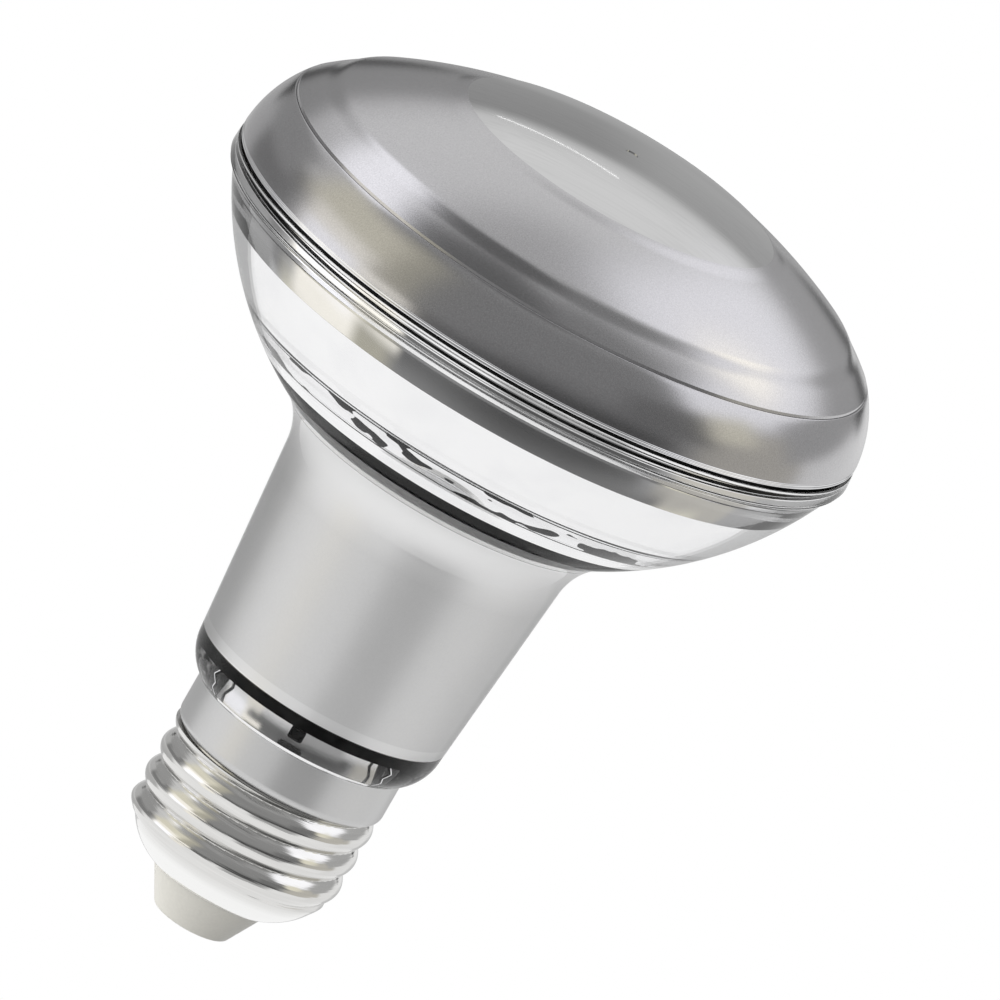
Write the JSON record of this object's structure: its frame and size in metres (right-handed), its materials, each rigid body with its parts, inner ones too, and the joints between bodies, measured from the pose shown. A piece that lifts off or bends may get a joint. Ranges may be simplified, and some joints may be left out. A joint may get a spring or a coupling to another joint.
{
  "type": "led reflector lamp",
  "caption": "LED reflector lamp with a screw cap: a clear bowl over a mirror narrows to a neck, and a satin domed front has a round polished window.",
  "frame": {"origin": "tip of the end contact, on the lamp's axis", "axes": "+Z along the axis from the cap to the front window, -Y towards the viewer of the picture, X across"},
  "size_m": [0.08, 0.08, 0.1047],
  "materials": {
    "contact_metal": "soldered, dull",
    "insulator_cream": "smooth, slightly glossy",
    "cap_nickel": "nickel plated, softly polished",
    "housing_silver": "satin silver",
    "tube_black": "matt black",
    "clear_glass": "clear, polished",
    "satin_aluminium": "satin",
    "mirror_metal": "polished mirror",
    "seal_black": "matt black",
    "satin_cover": "satin silver with a fine grain",
    "lens_grey": "polished silver grey",
    "board_white": "white, matt",
    "light_yellow": "yellow phosphor, smooth",
    "screw_steel": "zinc plated",
    "board_green": "green solder mask",
    "capacitor_black": "smooth sleeve",
    "film_red": "dipped, glossy",
    "ferrite_grey": "matt ferrite",
    "tape_yellow": "taped winding",
    "chip_black": "moulded black",
    "resistor_blue": "coated",
    "wire_red": "smooth insulation",
    "wire_black": "smooth insulation"
  },
  "bodies": {
    "root": {"centre_contact": "contact_metal", "cap_insulator": "insulator_cream", "screw_shell": "cap_nickel", "driver_housing": "housing_silver", "insulating_tube": "tube_black", "outer_body": "clear_glass", "neck_sleeve": "satin_aluminium", "bowl_reflector": "mirror_metal", "rim_seal": "seal_black", "front_cover": "satin_cover", "centre_lens": "lens_grey", "beam_reflector": "mirror_metal", "light_board": "board_white", "light_packages": "light_yellow", "board_screws": "screw_steel", "driver_board": "board_green", "bulk_capacitor": "capacitor_black", "film_capacitor": "film_red", "filter_choke": "ferrite_grey", "transformer": "tape_yellow", "bridge_rectifier": "chip_black", "driver_chip": "chip_black", "fuse_resistor": "resistor_blue", "live_wire": "wire_red", "neutral_wire": "wire_black", "light_wire_positive": "wire_red", "light_wire_negative": "wire_black"}
  },
  "joints": []
}
